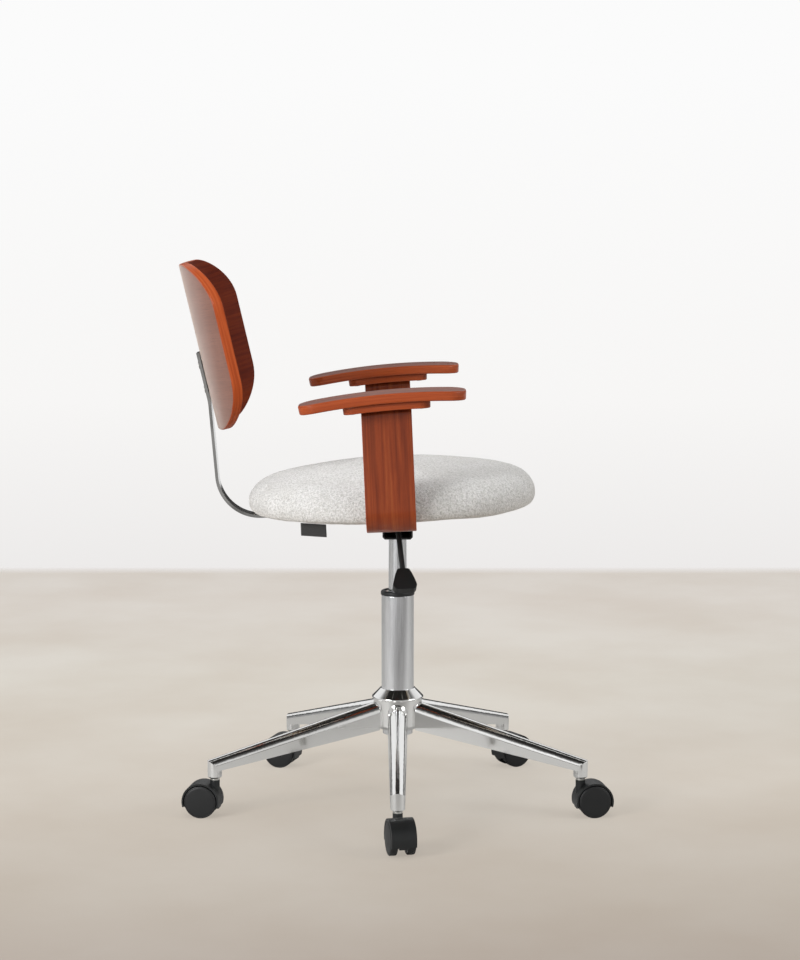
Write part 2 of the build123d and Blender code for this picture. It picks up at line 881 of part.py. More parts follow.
# Screws from block to pad, dowels from strap to block
with BuildPart() as arm_fixings:
    for side in (-1, 1):
        for along in arm_screw_places:
            reach = abs(along) + screw_head_radius
            bend_drop = block_under_radius - sqrt(block_under_radius**2 - reach**2)
            head_depth = pad_bend_radius - block_under_radius + bend_drop + seat_gap
            head_seat = arm_upright(side, along).offset(-head_depth)
            with BuildSketch(head_seat):
                Circle(screw_head_radius)
            extrude(amount=-screw_head_height)
            with BuildSketch(head_seat):
                Circle(screw_radius)
            extrude(amount=block_thickness + screw_bite - seat_gap)
        for along in dowel_places:
            with BuildSketch(arm_upright(side, along).offset(-pad_thickness - block_thickness)):
                Circle(dowel_radius)
            extrude(amount=dowel_half - seat_gap, both=True)
write(arm_fixings.part, "arm_fixings")

# Back shell: plywood bent about an upright axis, trimmed to a rounded outline
back_lean = radians(back_tilt)
back_up = seat_plane.y_dir * sin(back_lean) + seat_plane.z_dir * cos(back_lean)
back_normal = seat_plane.y_dir * cos(back_lean) - seat_plane.z_dir * sin(back_lean)
cushion_rear = seat_centre + cushion_radius
back_depth = cushion_rear + back_reach
bar_corner_depth = cushion_rear + bar_corner_reach
back_foot = on_seat(0, back_depth, back_rise)
back_face = Plane(origin=back_foot, x_dir=(-1, 0, 0), z_dir=back_normal)
back_section = Plane(origin=back_foot, x_dir=(1, 0, 0), z_dir=back_up)
back_bolt_places = [back_bolt_first, back_bolt_first + back_bolt_pitch]

with BuildPart() as back_shell:
    with BuildSketch(back_section):
        with Locations((0, -back_radius)):
            Circle(back_radius)
            Circle(back_radius - back_thickness, mode=Mode.SUBTRACT)
        Rectangle(back_width + back_thickness, back_radius, mode=Mode.INTERSECT)
    extrude(amount=back_height)
    with BuildSketch(back_face):
        half = back_width / 2
        top_flat = half - back_shoulder_width
        bottom_flat = half - back_hip_width
        shoulder = back_height - back_shoulder_height
        hip = back_hip_height
        with BuildLine():
            EllipticalCenterArc((top_flat, shoulder), back_shoulder_width, back_shoulder_height, 0)
            Line((top_flat, back_height), (-top_flat, back_height))
            EllipticalCenterArc((-top_flat, shoulder), back_shoulder_width, back_shoulder_height, 90)
            Line((-half, shoulder), (-half, hip))
            EllipticalCenterArc((-bottom_flat, hip), back_hip_width, back_hip_height, 180)
            Line((-bottom_flat, 0), (bottom_flat, 0))
            EllipticalCenterArc((bottom_flat, hip), back_hip_width, back_hip_height, 270)
            Line((half, hip), (half, shoulder))
        make_face()
    extrude(amount=back_radius, both=True, mode=Mode.INTERSECT)
    for rise in back_bolt_places:
        with BuildSketch(back_face):
            with Locations((0, rise)):
                Circle(bolt_hole)
        extrude(amount=-bolt_bite, mode=Mode.SUBTRACT)
write(back_shell.part, "back_shell")

# Flat bar: under the seat plate, round the rear of the seat and up behind the shell
bar_level = -plate_thickness - bar_thickness / 2
bar_stand = back_washer + bar_thickness / 2
back_foot_side = Vector(back_depth, back_rise)
up_side = Vector(sin(back_lean), cos(back_lean))
normal_side = Vector(cos(back_lean), -sin(back_lean))
bar_knee = back_foot_side + normal_side * bar_stand + up_side * bar_knee_rise
bar_top = back_foot_side + normal_side * bar_stand + up_side * bar_lap

with BuildPart() as back_bar:
    with BuildSketch(side_plane(0)):
        with BuildLine() as bar_line:
            FilletPolyline(
                (bar_inner_end, bar_level),
                (bar_corner_depth, bar_level),
                bar_knee,
                bar_top,
                radius=[bar_bend, bar_knee_bend],
            )
        trace(line_width=bar_thickness)
    extrude(amount=bar_width / 2, both=True)
    with BuildSketch(seat_plane.offset(-plate_thickness)):
        with Locations(*bar_bolts):
            Circle(bolt_hole)
    extrude(amount=-bar_thickness, mode=Mode.SUBTRACT)
    with BuildSketch(back_face):
        with Locations(*[(0, rise) for rise in back_bolt_places]):
            Circle(bolt_hole)
    extrude(amount=back_washer + 2 * bar_thickness, mode=Mode.SUBTRACT)
write(back_bar.part, "back_bar")

# Low-headed bolts, and the washers between bar and shell
with BuildPart() as back_bolts:
    bar_rear = back_face.offset(back_washer + bar_thickness)
    for rise in back_bolt_places:
        with BuildSketch(bar_rear):
            with Locations((0, rise)):
                Circle(bolt_head_radius)
        extrude(amount=back_bolt_head_height)
        with BuildSketch(bar_rear):
            with Locations((0, rise)):
                Circle(bolt_radius)
        extrude(amount=-back_washer - bar_thickness - bolt_bite + seat_gap)
        with BuildSketch(back_face.offset(seat_gap)):
            with Locations((0, rise)):
                Circle(bolt_head_radius)
        extrude(amount=back_washer - 2 * seat_gap)
write(back_bolts.part, "back_bolts")

# Bolts into the seat board, heads under the piece they hold
with BuildPart() as seat_bolts:
    for places, stack in (
        (plate_bolts, plate_thickness),
        (bar_bolts, plate_thickness + bar_thickness),
        (strap_bolts, strap_thickness),
    ):
        with BuildSketch(seat_plane.offset(-stack)):
            with Locations(*places):
                Circle(bolt_head_radius)
        extrude(amount=-bolt_head_height)
        with BuildSketch(seat_plane.offset(-stack)):
            with Locations(*places):
                Circle(bolt_radius)
        extrude(amount=stack + cover_thickness + bolt_bite)
write(seat_bolts.part, "seat_bolts")
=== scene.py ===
import math

import bmesh
import bpy
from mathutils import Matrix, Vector, noise


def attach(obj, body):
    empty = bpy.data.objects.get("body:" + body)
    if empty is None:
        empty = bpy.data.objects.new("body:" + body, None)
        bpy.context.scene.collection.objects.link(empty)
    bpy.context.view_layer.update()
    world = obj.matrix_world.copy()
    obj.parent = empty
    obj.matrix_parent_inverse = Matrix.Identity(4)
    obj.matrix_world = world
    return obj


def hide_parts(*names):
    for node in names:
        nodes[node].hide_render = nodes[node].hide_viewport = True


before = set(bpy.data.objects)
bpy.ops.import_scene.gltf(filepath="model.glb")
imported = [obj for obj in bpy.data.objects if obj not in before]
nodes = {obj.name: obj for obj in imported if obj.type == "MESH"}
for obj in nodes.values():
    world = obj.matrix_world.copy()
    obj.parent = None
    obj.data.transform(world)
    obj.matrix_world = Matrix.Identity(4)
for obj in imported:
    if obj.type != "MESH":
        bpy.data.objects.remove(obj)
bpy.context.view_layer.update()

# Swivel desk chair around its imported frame, metres, +Z up, front towards -Y
mm = 0.001
print("frame loaded,", len(nodes), "nodes")


# Small tools for colours, nodes and meshes
def toLinear(hexColour):
    parts = [int(hexColour[k:k + 2], 16) / 255 for k in (1, 3, 5)]
    return tuple(p / 12.92 if p <= 0.04045 else ((p + 0.055) / 1.055) ** 2.4 for p in parts) + (1.0,)


def addNode(tree, kind, settings=None, links=None):
    made = tree.nodes.new(kind)
    for key, value in (settings or {}).items():
        if isinstance(key, str) and hasattr(made, key):
            setattr(made, key, value)
        else:
            made.inputs[key].default_value = value
    for key, source in (links or {}).items():
        tree.links.new(source, made.inputs[key])
    return made


def addRamp(tree, factor, stops):
    ramp = addNode(tree, "ShaderNodeValToRGB", {}, {"Fac": factor})
    bands = ramp.color_ramp.elements
    bands[0].position, bands[1].position = stops[0][0], stops[-1][0]
    bands[0].color, bands[1].color = toLinear(stops[0][1]), toLinear(stops[-1][1])
    for place, hexColour in stops[1:-1]:
        bands.new(place).color = toLinear(hexColour)
    return ramp.outputs["Color"]


def startMaterial(name, settings):
    material = bpy.data.materials.new(name)
    material.use_nodes = True
    tree = material.node_tree
    shader = tree.nodes["Principled BSDF"]
    for key, value in settings.items():
        shader.inputs[key].default_value = value
    return material, tree, shader


def makeObject(name, mesh, material, body, replaced):
    piece = bpy.data.objects.new(name, mesh)
    bpy.context.scene.collection.objects.link(piece)
    mesh.materials.append(material)
    mesh.shade_smooth()
    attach(piece, body)
    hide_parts(*replaced)
    return piece


def meshFromLoops(name, loops, marks=None):
    # loops of equal length, joined in order, both ends closed with a fan
    bm = bmesh.new()
    rows = [[bm.verts.new(p) for p in loop] for loop in loops]
    count = len(rows[0])
    for low, high in zip(rows, rows[1:]):
        for k in range(count):
            bm.faces.new((low[k], low[(k + 1) % count], high[(k + 1) % count], high[k]))
    for row in (rows[0], rows[-1]):
        tip = bm.verts.new(sum((v.co for v in row), Vector()) / count)
        for k in range(count):
            bm.faces.new((row[k], row[(k + 1) % count], tip))
    bmesh.ops.recalc_face_normals(bm, faces=bm.faces)
    bm.verts.index_update()
    mesh = bpy.data.meshes.new(name)
    bm.to_mesh(mesh)
    bm.free()
    if marks:
        grain, edge = marks
        flat = [m for loop in grain for m in loop] + [grain[0][0], grain[-1][0]]
        rim = [m for loop in edge for m in loop] + [edge[0][0], edge[-1][0]]
        store = mesh.attributes.new("grain", "FLOAT_VECTOR", "POINT")
        store.data.foreach_set("vector", [c for m in flat for c in m])
        store = mesh.attributes.new("edge", "FLOAT", "POINT")
        store.data.foreach_set("value", rim)
    return mesh


# Materials
def lacqueredVeneer(name, bloom, shine, coat, tones):
    # Red-brown stained veneer over plywood, sprayed with clear satin lacquer: long dark streaks, a pale
    # bloom of the matting agent at shallow angles, and a lighter orange edge where the thin plies end
    streakAcross, streakAlong = 0.0042, 0.16
    bandAcross, bandAlong = 0.03, 0.45
    poreAcross, poreAlong = 0.0011, 0.03
    plyThickness, plyAlong = 0.0016, 0.11
    material, tree, shader = startMaterial(name, {
        "Roughness": 0.52, "IOR": 1.5, "Specular IOR Level": shine,
        "Coat Weight": coat, "Coat Roughness": 0.18, "Coat IOR": 1.5,
        "Sheen Weight": bloom, "Sheen Roughness": 0.3, "Sheen Tint": toLinear("#F4E6DC")})
    grain = addNode(tree, "ShaderNodeAttribute", {"attribute_name": "grain"}).outputs["Vector"]
    edge = addNode(tree, "ShaderNodeAttribute", {"attribute_name": "edge"}).outputs["Fac"]

    def stretched(along, across, depth):
        return addNode(tree, "ShaderNodeVectorMath", {
            "operation": "MULTIPLY", 1: (1 / along, 1 / across, 1 / depth)}, {0: grain}).outputs[0]

    streak = addNode(tree, "ShaderNodeTexNoise", {
        "Scale": 1.0, "Detail": 4.0, "Roughness": 0.62, "Distortion": 0.35},
        {"Vector": stretched(streakAlong, streakAcross, streakAcross * 3)}).outputs["Fac"]
    broad = addNode(tree, "ShaderNodeTexNoise", {"Scale": 1.0, "Detail": 2.0},
                    {"Vector": stretched(bandAlong, bandAcross, bandAcross)}).outputs["Fac"]
    pores = addNode(tree, "ShaderNodeTexNoise", {"Scale": 1.0, "Detail": 3.0, "Roughness": 0.7},
                    {"Vector": stretched(poreAlong, poreAcross, poreAcross * 2)}).outputs["Fac"]
    mixed = addNode(tree, "ShaderNodeMath", {"operation": "MULTIPLY_ADD", 1: 0.5},
                    {0: broad, 2: addNode(tree, "ShaderNodeMath", {"operation": "MULTIPLY", 1: 0.55},
                                          {0: streak}).outputs[0]}).outputs[0]
    face = addRamp(tree, mixed, list(zip((0.36, 0.46, 0.54, 0.66), tones)))
    poreTone = addRamp(tree, pores, [(0.3, "#A0948E"), (0.5, "#FFFFFF")])
    face = addNode(tree, "ShaderNodeMix", {"data_type": "RGBA", "blend_type": "MULTIPLY", 0: 0.55},
                   {6: face, 7: poreTone}).outputs[2]
    plies = addNode(tree, "ShaderNodeTexNoise", {"Scale": 1.0, "Detail": 2.0, "Roughness": 0.5},
                    {"Vector": stretched(plyAlong, plyAlong, plyThickness)}).outputs["Fac"]
    rim = addRamp(tree, plies, [(0.3, "#8A3A18"), (0.5, "#98431E"), (0.7, "#A44E28")])
    colour = addNode(tree, "ShaderNodeMix", {"data_type": "RGBA"}, {0: edge, 6: face, 7: rim}).outputs[2]
    bump = addNode(tree, "ShaderNodeBump", {"Strength": 0.12, "Distance": 0.0002}, {"Height": pores})
    tree.links.new(colour, shader.inputs["Base Color"])
    tree.links.new(bump.outputs["Normal"], shader.inputs["Normal"])
    return material


def boucleCloth():
    # Light grey melange boucle, woven from looped wool-blend yarn: soft small knots, pale and darker
    # threads side by side, no shine. Loops are drawn 1.9 mm wide, a little coarse so that they show
    loopSize, curl, melangeSize, patchSize = 0.0019, 0.0016, 0.003, 0.05
    material, tree, shader = startMaterial("boucleCloth", {
        "Roughness": 0.95, "IOR": 1.45, "Specular IOR Level": 0.2, "Sheen Weight": 0.25,
        "Sheen Roughness": 0.5})
    where = addNode(tree, "ShaderNodeTexCoord").outputs["Object"]
    curls = addNode(tree, "ShaderNodeTexNoise", {"Scale": 0.6 / loopSize, "Detail": 2.0}, {"Vector": where})
    shifted = addNode(tree, "ShaderNodeVectorMath", {"operation": "MULTIPLY_ADD", 1: (curl,) * 3},
                      {0: curls.outputs["Color"], 2: where}).outputs[0]
    knots = addNode(tree, "ShaderNodeTexVoronoi", {"Scale": 1 / loopSize, "feature": "SMOOTH_F1",
                                                   "Smoothness": 0.6}, {"Vector": shifted})
    melange = addNode(tree, "ShaderNodeTexNoise", {
        "Scale": 1 / melangeSize, "Detail": 4.0, "Roughness": 0.7}, {"Vector": shifted})
    broad = addNode(tree, "ShaderNodeTexNoise", {"Scale": 1 / patchSize, "Detail": 2.0}, {"Vector": where})
    yarn = addRamp(tree, melange.outputs["Fac"], [(0.34, "#BBBBBA"), (0.45, "#D6D6D5"), (0.55, "#E8E8E8"),
                                                  (0.68, "#F4F4F4")])
    # darker away from each knot's middle: painted shade in the hollows between the loops
    depth = addRamp(tree, knots.outputs["Distance"], [(0.1, "#FFFFFF"), (0.75, "#C6C5C3")])
    cloth = addNode(tree, "ShaderNodeMix", {"data_type": "RGBA", "blend_type": "MULTIPLY", 0: 0.7},
                    {6: yarn, 7: depth}).outputs[2]
    tone = addRamp(tree, broad.outputs["Fac"], [(0.35, "#F8F8F7"), (0.65, "#FFFFFF")])
    cloth = addNode(tree, "ShaderNodeMix", {"data_type": "RGBA", "blend_type": "MULTIPLY", 0: 1.0},
                    {6: cloth, 7: tone}).outputs[2]
    raised = addNode(tree, "ShaderNodeMath", {"operation": "MULTIPLY_ADD", 1: -0.8},
                     {0: knots.outputs["Distance"], 2: melange.outputs["Fac"]}).outputs[0]
    bump = addNode(tree, "ShaderNodeBump", {"Strength": 0.9, "Distance": 0.0014}, {"Height": raised})
    tree.links.new(cloth, shader.inputs["Base Color"])
    tree.links.new(bump.outputs["Normal"], shader.inputs["Normal"])
    return material


def chromePlate():
    # Polished steel with bright chrome plating: a sharp mirror, with a faint polishing haze
    hazeSize = 0.03
    material, tree, shader = startMaterial("chromePlate", {
        "Base Color": toLinear("#E0E0DF"), "Metallic": 1.0})
    where = addNode(tree, "ShaderNodeTexCoord").outputs["Object"]
    haze = addNode(tree, "ShaderNodeTexNoise", {"Scale": 1 / hazeSize, "Detail": 3.0}, {"Vector": where})
    rough = addNode(tree, "ShaderNodeMapRange", {"To Min": 0.05, "To Max": 0.13},
                    {"Value": haze.outputs["Fac"]})
    tree.links.new(rough.outputs["Result"], shader.inputs["Roughness"])
    return material


def polishedBar():
    # Flat steel bar, edges ground and the whole nickel plated: a mirror with lines along the bar
    lineAcross, lineAlong = 0.0011, 1 / 18
    material, tree, shader = startMaterial("polishedBar", {"Metallic": 1.0})
    where = addNode(tree, "ShaderNodeTexCoord").outputs["Object"]
    lines = addNode(tree, "ShaderNodeVectorMath", {
        "operation": "MULTIPLY", 1: (1 / lineAcross, 1 / lineAlong, 1 / lineAlong)}, {0: where})
    ground = addNode(tree, "ShaderNodeTexNoise", {"Scale": 1.0, "Detail": 2.0}, {"Vector": lines.outputs[0]})
    # dark tones: painted reflection of the dark surroundings that the bar mirrors
    colour = addRamp(tree, ground.outputs["Fac"], [(0.35, "#767573"), (0.65, "#989795")])
    rough = addNode(tree, "ShaderNodeMapRange", {"To Min": 0.1, "To Max": 0.2},
                    {"Value": ground.outputs["Fac"]})
    tree.links.new(colour, shader.inputs["Base Color"])
    tree.links.new(rough.outputs["Result"], shader.inputs["Roughness"])
    return material


def satinSilver():
    # Gas lift tube in satin silver lacquer, drawn and buffed along its length: soft upright sheen
    lineAcross, lineAlong = 0.0008, 0.05
    material, tree, shader = startMaterial("satinSilver", {"Metallic": 1.0})
    where = addNode(tree, "ShaderNodeTexCoord").outputs["Object"]
    lines = addNode(tree, "ShaderNodeVectorMath", {
        "operation": "MULTIPLY", 1: (1 / lineAcross, 1 / lineAcross, 1 / lineAlong)}, {0: where})
    buffed = addNode(tree, "ShaderNodeTexNoise", {"Scale": 1.0, "Detail": 2.0}, {"Vector": lines.outputs[0]})
    colour = addRamp(tree, buffed.outputs["Fac"], [(0.3, "#D4D5D7"), (0.7, "#E2E3E5")])
    rough = addNode(tree, "ShaderNodeMapRange", {"To Min": 0.2, "To Max": 0.28},
                    {"Value": buffed.outputs["Fac"]})
    tree.links.new(colour, shader.inputs["Base Color"])
    tree.links.new(rough.outputs["Result"], shader.inputs["Roughness"])
    return material


def mouldedBlack(name, hexColour, roughLow, roughHigh, gritSize, gritDepth):
    # Black moulded plastic or powder coat: a fine grit that softens every reflection
    patchSize, darkShare = 0.03, 0.8
    material, tree, shader = startMaterial(name, {"IOR": 1.49, "Specular IOR Level": 0.4})
    where = addNode(tree, "ShaderNodeTexCoord").outputs["Object"]
    grit = addNode(tree, "ShaderNodeTexNoise", {"Scale": 1 / gritSize, "Detail": 2.0}, {"Vector": where})
    broad = addNode(tree, "ShaderNodeTexNoise", {"Scale": 1 / patchSize, "Detail": 3.0}, {"Vector": where})
    darker = "#" + "".join(f"{int(int(hexColour[k:k + 2], 16) * darkShare):02X}" for k in (1, 3, 5))
    colour = addRamp(tree, broad.outputs["Fac"], [(0.35, darker), (0.65, hexColour)])
    rough = addNode(tree, "ShaderNodeMapRange", {"To Min": roughLow, "To Max": roughHigh},
                    {"Value": broad.outputs["Fac"]})
    bump = addNode(tree, "ShaderNodeBump", {"Strength": 0.3, "Distance": gritDepth},
                   {"Height": grit.outputs["Fac"]})
    tree.links.new(colour, shader.inputs["Base Color"])
    tree.links.new(rough.outputs["Result"], shader.inputs["Roughness"])
    tree.links.new(bump.outputs["Normal"], shader.inputs["Normal"])
    return material


def zincSteel():
    # Turned steel with bright zinc plating: grey-white, slightly cloudy mirror
    cloudSize = 0.006
    material, tree, shader = startMaterial("zincSteel", {"Metallic": 1.0})
    where = addNode(tree, "ShaderNodeTexCoord").outputs["Object"]
    cloud = addNode(tree, "ShaderNodeTexNoise", {"Scale": 1 / cloudSize, "Detail": 3.0}, {"Vector": where})
    colour = addRamp(tree, cloud.outputs["Fac"], [(0.35, "#A9A8A4"), (0.65, "#C4C3BF")])
    rough = addNode(tree, "ShaderNodeMapRange", {"To Min": 0.24, "To Max": 0.4},
                    {"Value": cloud.outputs["Fac"]})
    tree.links.new(colour, shader.inputs["Base Color"])
    tree.links.new(rough.outputs["Result"], shader.inputs["Roughness"])
    return material


def blackCloth(name, threadSize, hexDark, hexLight):
    # Thin black polyester cloth, woven or felted: a fine thread pattern and a dull sheen
    waveRun = 0.314  # length after which a wave texture of scale 1 repeats
    material, tree, shader = startMaterial(name, {"Roughness": 0.85, "Sheen Weight": 0.2})
    where = addNode(tree, "ShaderNodeTexCoord").outputs["Object"]
    across = addNode(tree, "ShaderNodeTexWave", {"Scale": waveRun / threadSize, "bands_direction": "Z"},
                     {"Vector": where})
    along = addNode(tree, "ShaderNodeTexWave", {"Scale": waveRun / threadSize, "bands_direction": "DIAGONAL"},
                    {"Vector": where})
    weave = addNode(tree, "ShaderNodeMath", {"operation": "MULTIPLY"},
                    {0: across.outputs["Fac"], 1: along.outputs["Fac"]}).outputs[0]
    colour = addRamp(tree, weave, [(0.1, hexDark), (0.8, hexLight)])
    bump = addNode(tree, "ShaderNodeBump", {"Strength": 0.4, "Distance": 0.0003}, {"Height": weave})
    tree.links.new(colour, shader.inputs["Base Color"])
    tree.links.new(bump.outputs["Normal"], shader.inputs["Normal"])
    return material


def naturalAcetal():
    # Turned acetal plastic in its own milky white: soft shine, faintly see-through, a little uneven
    cloudSize = 0.008
    material, tree, shader = startMaterial("naturalAcetal", {
        "Roughness": 0.38, "IOR": 1.48, "Subsurface Weight": 0.1, "Subsurface Scale": 0.002})
    where = addNode(tree, "ShaderNodeTexCoord").outputs["Object"]
    cloud = addNode(tree, "ShaderNodeTexNoise", {"Scale": 1 / cloudSize, "Detail": 2.0}, {"Vector": where})
    colour = addRamp(tree, cloud.outputs["Fac"], [(0.35, "#D2D0CB"), (0.65, "#E2E1DD")])
    tree.links.new(colour, shader.inputs["Base Color"])
    return material


def birchBoard():
    # Raw birch plywood, sanded: pale, faint long grain, dull
    grainAcross, grainAlong, grainDeep = 0.0025, 1 / 12, 0.002
    material, tree, shader = startMaterial("birchBoard", {"Roughness": 0.75})
    where = addNode(tree, "ShaderNodeTexCoord").outputs["Object"]
    lines = addNode(tree, "ShaderNodeVectorMath", {
        "operation": "MULTIPLY", 1: (1 / grainAcross, 1 / grainAlong, 1 / grainDeep)}, {0: where})
    grain = addNode(tree, "ShaderNodeTexNoise", {"Scale": 1.0, "Detail": 3.0}, {"Vector": lines.outputs[0]})
    colour = addRamp(tree, grain.outputs["Fac"], [(0.3, "#B8925F"), (0.7, "#D6B98A")])
    tree.links.new(colour, shader.inputs["Base Color"])
    return material


# one stain and lacquer, sprayed thicker or thinner, the back shell's copies with light painted into their
# tones: name, bloom, shine, coat, tones of the grain
veneer = lacqueredVeneer("lacqueredVeneer", 0.13, 0.1, 0.3, ("#501808", "#5E200B", "#68260D", "#763112"))
strapVeneer = lacqueredVeneer("streakedVeneer", 0.25, 0.14, 0.3, ("#3C1206", "#62250F", "#783215", "#8F4A24"))
# darker tones: painted shade on the back shell's inner face
deepVeneer = lacqueredVeneer("deepVeneer", 0.04, 0.06, 0.12, ("#4C1406", "#571A08", "#60200A", "#6D2A0F"))
# paler, even tones: a painted haze of reflected light on the back shell's rear face
hazyVeneer = lacqueredVeneer("hazyVeneer", 1.0, 0.8, 0.3, ("#6F4537", "#74493B", "#784D3F", "#7D5244"))
boucle = boucleCloth()
chrome = chromePlate()
paintedDarkBar = polishedBar()
silver = satinSilver()
zinc = zincSteel()
nylon = mouldedBlack("mouldedNylon", "#121415", 0.38, 0.5, 0.0006, 0.0001)
wheelNylon = mouldedBlack("wheelNylon", "#0D0E0F", 0.42, 0.54, 0.0005, 0.00008)
powderCoat = mouldedBlack("blackPowderCoat", "#1E1F20", 0.4, 0.52, 0.0011, 0.0002)
tabWeave = blackCloth("wovenTab", 0.0007, "#141414", "#3A3A3A")
feltCloth = blackCloth("dustFelt", 0.0015, "#1A1A1A", "#2E2E2E")
acetal = naturalAcetal()
board = birchBoard()
print("materials made")


# CAD nodes whose shape is right keep their place and get a finish and eased edges
nodeFinish = {
    "chromed": {"material": chrome, "ease": 0.0012, "names": ["base_hub"]
                + [f"base_leg_{k}" for k in range(1, 6)]},
    "plated": {"material": paintedDarkBar, "ease": 0.001, "names": ["back_bar"]},
    "silver": {"material": silver, "ease": 0.0006, "names": ["column_tube", "pressure_tube"]},
    "zinc": {"material": zinc, "ease": 0.0004, "names": [
        "piston_rod", "rod_clip", "thrust_bearing", "release_pin", "lever_pivot", "seat_bolts", "back_bolts",
        "arm_fixings"] + [f"caster_{kind}_{k}" for kind in ("stem", "axle") for k in range(1, 6)]},
    "coated": {"material": powderCoat, "ease": 0.0008,
               "names": ["taper_socket", "mechanism_channel", "seat_plate", "lever_rod"]},
    "moulded": {"material": nylon, "ease": 0.0009, "names": ["column_cap"]
                + [f"caster_hood_{k}" for k in range(1, 6)]},
    "grip": {"material": nylon, "ease": 0.0022, "names": ["lever_paddle"]},
    "acetal": {"material": acetal, "ease": 0.0008, "names": ["guide_bush"]},
    "board": {"material": board, "ease": 0.0008, "names": ["seat_board"]},
    "felt": {"material": feltCloth, "ease": 0.0003, "names": ["seat_dust_cover"]},
}
easeAngle, flatAngle, weldReach = math.radians(32), math.radians(0.6), 0.00001
for finish in nodeFinish.values():
    for nodeName in finish["names"]:
        node = nodes[nodeName]
        node.data.materials.clear()
        node.data.materials.append(finish["material"])
        weld = node.modifiers.new("weld", "WELD")
        weld.merge_threshold = weldReach
        flat = node.modifiers.new("flat", "DECIMATE")
        flat.decimate_type = "DISSOLVE"
        flat.angle_limit = flatAngle
        ease = node.modifiers.new("ease", "BEVEL")
        ease.width = finish["ease"]
        ease.segments = 3
        ease.limit_method = "ANGLE"
        ease.angle_limit = easeAngle
        ease.harden_normals = True
        node.modifiers.new("shade", "WEIGHTED_NORMAL").keep_sharp = True
print("nodes finished")


# Frame of the seat: leans 2.5 degrees, front higher, zero on the underside of the board
seat = {"height": 466, "tilt": 2.5, "centre": 8}
tiltSin, tiltCos = math.sin(math.radians(seat["tilt"])), math.cos(math.radians(seat["tilt"]))


def onSeat(x, y, z):
    return Vector((x, y * tiltCos + z * tiltSin, seat["height"] - y * tiltSin + z * tiltCos)) * mm


# Bent plywood slabs: arm pads, arm blocks and the back shell
arcSteps = 16  # in each quarter turn of an outline or a bend
edgeReach = 1.3  # how far the tone of the ply edge runs round its eased corner


def roundedOutline(low, high, lowCorner, highCorner, step=4.0):
    # anticlockwise points of a rectangle, millimetres, each corner a quarter of an ellipse
    points = []
    corners = [(1, -1, lowCorner), (1, 1, highCorner), (-1, 1, highCorner), (-1, -1, lowCorner)]
    for k, (right, top, (wide, tall)) in enumerate(corners):
        x = high[0] - wide if right > 0 else low[0] + wide
        y = high[1] - tall if top > 0 else low[1] + tall
        for j in range(arcSteps + 1):
            angle = math.radians(-90 + 90 * k + 90 * j / arcSteps)
            points.append((x + wide * math.cos(angle), y + tall * math.sin(angle)))
    filled = []
    for a, b in zip(points, points[1:] + points[:1]):
        run = math.dist(a, b)
        parts = max(1, round(run / step)) if run > 1.5 * step else 1
        filled += [(a[0] + (b[0] - a[0]) * k / parts, a[1] + (b[1] - a[1]) * k / parts) for k in range(parts)]
    return filled


def buildSlab(name, outline, thickness, easeRadius, placePoint):
    # placePoint(u, v, depth) gives the point in the row frame; depth runs from 0 to thickness
    count = len(outline)
    middle = [sum(p[k] for p in outline) / count for k in (0, 1)]
    inward = []
    for k in range(count):
        a, b = outline[k - 1], outline[(k + 1) % count]
        length = math.dist(a, b)
        inward.append((-(b[1] - a[1]) / length, (b[0] - a[0]) / length))
    rings = []  # inset, depth, share towards the middle, edge mark
    spread = (0.03, 0.16, 0.3, 0.44, 0.57, 0.69, 0.8, 0.89, 0.95, 0.985, 1.0)
    turns = [math.radians(a) for a in (72, 54, 36, 18, 0)]
    rings += [(easeRadius, 0, s, 0.0) for s in spread]
    rings += [(easeRadius * (1 - math.cos(a)), easeRadius * (1 - math.sin(a)), 1,
               min(1, edgeReach * math.cos(a))) for a in turns]
    rings += [(0, thickness / 2, 1, 1.0)]
    rings += [(inset, thickness - depth, share, mark) for inset, depth, share, mark in reversed(rings[:-1])]
    loops, grain, edge = [], [], []
    for inset, depth, share, mark in rings:
        flat = [(p[0] + n[0] * inset, p[1] + n[1] * inset) for p, n in zip(outline, inward)]
        flat = [tuple(m + (c - m) * share for c, m in zip(p, middle)) for p in flat]
        loops.append([placePoint(u, v, depth) for u, v in flat])
        grain.append([(u * mm, v * mm, depth * mm) for u, v in flat])
        edge.append([mark] * count)
    return meshFromLoops(name, loops, (grain, edge))


arm = {"middle": 233.25, "strapCentre": 9, "height": 198, "pitch": 2.6, "bend": 1014,
       "padThickness": 14, "padFront": 116.5, "padRear": 128, "padWidth": 76, "padCorner": 27, "padEase": 2.6,
       "blockTop": 14.05, "blockThickness": 11, "blockLength": 129, "blockWidth": 58, "blockCorner": 16,
       "blockEase": 1.6}
armPitch = math.radians(arm["pitch"])
bendBack = arm["strapCentre"] - arm["bend"] * math.sin(armPitch)
bendUp = arm["height"] - arm["bend"] * math.cos(armPitch)


def onArm(side, top):
    def place(u, v, depth):
        turn = armPitch + u / arm["bend"]
        radius = arm["bend"] - top - depth
        return onSeat(side * (arm["middle"] + v), bendBack + radius * math.sin(turn),
                      bendUp + radius * math.cos(turn))
    return place


for side, hand in ((-1, "right"), (1, "left")):
    half = arm["padWidth"] / 2
    corner = (arm["padCorner"], arm["padCorner"])
    outline = roundedOutline((-arm["padFront"], -half), (arm["padRear"], half), corner, corner)
    mesh = buildSlab(f"armPad.{hand}", outline, arm["padThickness"], arm["padEase"], onArm(side, 0))
    makeObject(f"armPad.{hand}", mesh, veneer, "seat", [f"arm_pad_{hand}"])
    long, half = arm["blockLength"] / 2, arm["blockWidth"] / 2
    corner = (arm["blockCorner"], arm["blockCorner"])
    outline = roundedOutline((-long, -half), (long, half), corner, corner)
    mesh = buildSlab(f"armBlock.{hand}", outline, arm["blockThickness"], arm["blockEase"],
                     onArm(side, arm["blockTop"]))
    makeObject(f"armBlock.{hand}", mesh, veneer, "seat", [f"arm_block_{hand}"])
print("arm pads and blocks made")

